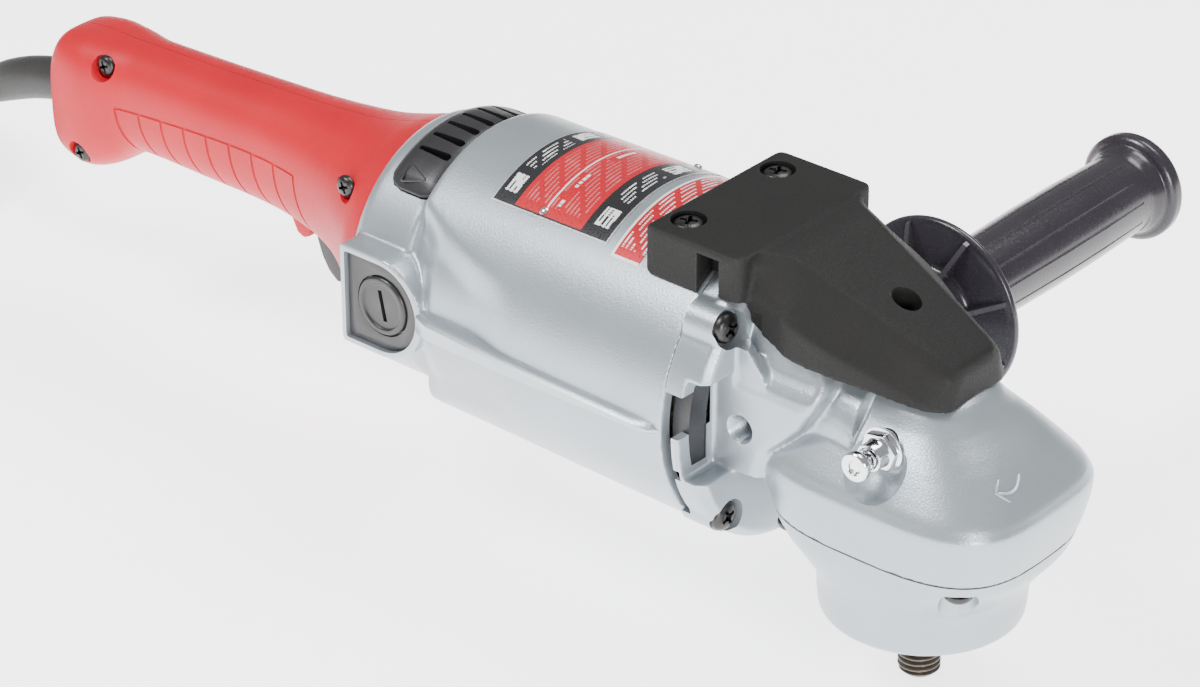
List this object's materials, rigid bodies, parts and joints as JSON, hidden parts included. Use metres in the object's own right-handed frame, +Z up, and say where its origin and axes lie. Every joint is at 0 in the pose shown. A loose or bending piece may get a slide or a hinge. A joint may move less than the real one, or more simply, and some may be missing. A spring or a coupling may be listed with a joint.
{
  "type": "angle grinder",
  "caption": "Corded right-angle grinder with a rear trigger handle, threaded side handle, bevel-geared spindle, spindle lock and rubber bumper, its cord coiled.",
  "frame": {"origin": "on the spindle's axis, at the spindle's lower end, which the tool stands on", "axes": "+X forward, from the rear handle to the gear head; +Y to the tool's left, where the side handle is fitted; +Z up, so the spindle points down"},
  "size_m": [0.7003, 0.2756, 0.1653],
  "materials": {
    "cast_housing": "silver lacquered aluminium casting, satin",
    "red_plastic": "red glass-filled nylon, fine moulded texture",
    "grille_plastic": "black moulded plastic",
    "brush_cap_plastic": "black phenolic plastic",
    "side_handle_plastic": "glossy black plastic",
    "bumper_rubber": "dull black rubber",
    "trigger_plastic": "black moulded plastic",
    "cord_rubber": "black rubber cord and strain relief",
    "plug_plastic": "black moulded plug with brass blades",
    "label_red": "red plate with a silver border and black bands, no lettering",
    "internal_plastic": "natural nylon",
    "motor_steel": "lacquered steel laminations",
    "copper": "copper",
    "brass": "drawn brass",
    "carbon": "pressed carbon",
    "gear_steel": "dark hardened steel",
    "bright_steel": "bright plated steel",
    "black_screws": "black oxide steel screw"
  },
  "bodies": {
    "housing": {"bearing_retainer": "cast_housing", "brush_cap_left": "brush_cap_plastic", "brush_cap_right": "brush_cap_plastic", "brush_holder_left": "brass", "brush_holder_right": "brass", "brush_plate_left": "brush_cap_plastic", "brush_plate_right": "brush_cap_plastic", "bumper_screw_left": "black_screws", "bumper_screw_right": "black_screws", "carbon_brush_left": "carbon", "carbon_brush_right": "carbon", "case_screw_left_lower": "black_screws", "case_screw_left_upper": "black_screws", "case_screw_right_lower": "black_screws", "case_screw_right_upper": "black_screws", "cord": "cord_rubber", "cord_clamp": "gear_steel", "cord_coil": "cord_rubber", "cord_tail": "cord_rubber", "fan_baffle": "internal_plastic", "field_coil_left": "copper", "field_coil_right": "copper", "gear_case": "cast_housing", "handle_half_left": "red_plastic", "handle_half_right": "red_plastic", "handle_screw_front": "black_screws", "handle_screw_heel": "black_screws", "handle_screw_rear": "black_screws", "lock_bushing": "bright_steel", "lock_spring": "bright_steel", "motor_bearing_front": "bright_steel", "motor_bearing_rear": "bright_steel", "motor_housing": "cast_housing", "nameplate": "label_red", "plug": "plug_plastic", "retainer_screw_front_left": "black_screws", "retainer_screw_front_right": "black_screws", "retainer_screw_rear_left": "black_screws", "retainer_screw_rear_right": "black_screws", "rubber_bumper": "bumper_rubber", "side_handle_grip": "side_handle_plastic", "side_handle_stud": "bright_steel", "spindle_bearing_lower": "bright_steel", "spindle_bearing_upper": "bright_steel", "stator_core": "motor_steel", "strain_relief": "cord_rubber", "switch_body": "trigger_plastic", "trigger_pin": "bright_steel", "vent_grille": "grille_plastic", "warning_label": "label_red"},
    "armature": {"armature": "motor_steel", "commutator": "copper", "cooling_fan": "internal_plastic", "pinion": "gear_steel"},
    "spindle": {"spindle": "gear_steel", "ring_gear": "gear_steel"},
    "trigger": {"trigger": "trigger_plastic"},
    "lock_pin": {"spindle_lock_pin": "bright_steel"}
  },
  "joints": [
    {"name": "armature_spin", "type": "hinge", "parent": "housing", "child": "armature", "pos_m": [-0.1, 0, 0.099], "axis": [1, 0, 0], "continuous": true},
    {"name": "spindle_spin", "type": "hinge", "parent": "housing", "child": "spindle", "pos_m": [0, 0, 0], "axis": [0, 0, 1], "continuous": true},
    {"name": "trigger_pull", "type": "hinge", "parent": "housing", "child": "trigger", "pos_m": [-0.266, 0, 0.094], "axis": [0, 1, 0], "range_deg": [0, 8], "stiffness_Nm_per_rad": 0.6, "springref_deg": -2.86},
    {"name": "spindle_lock_press", "type": "slide", "parent": "housing", "child": "lock_pin", "axis": [0, 1, 0], "range_m": [0, 0.004], "stiffness_N_per_m": 900, "springref_m": -0.0015, "deforming": ["lock_spring"]}
  ],
  "couplings": [
    {"joint": "spindle_spin", "follows": "armature_spin", "ratio": -0.25}
  ]
}
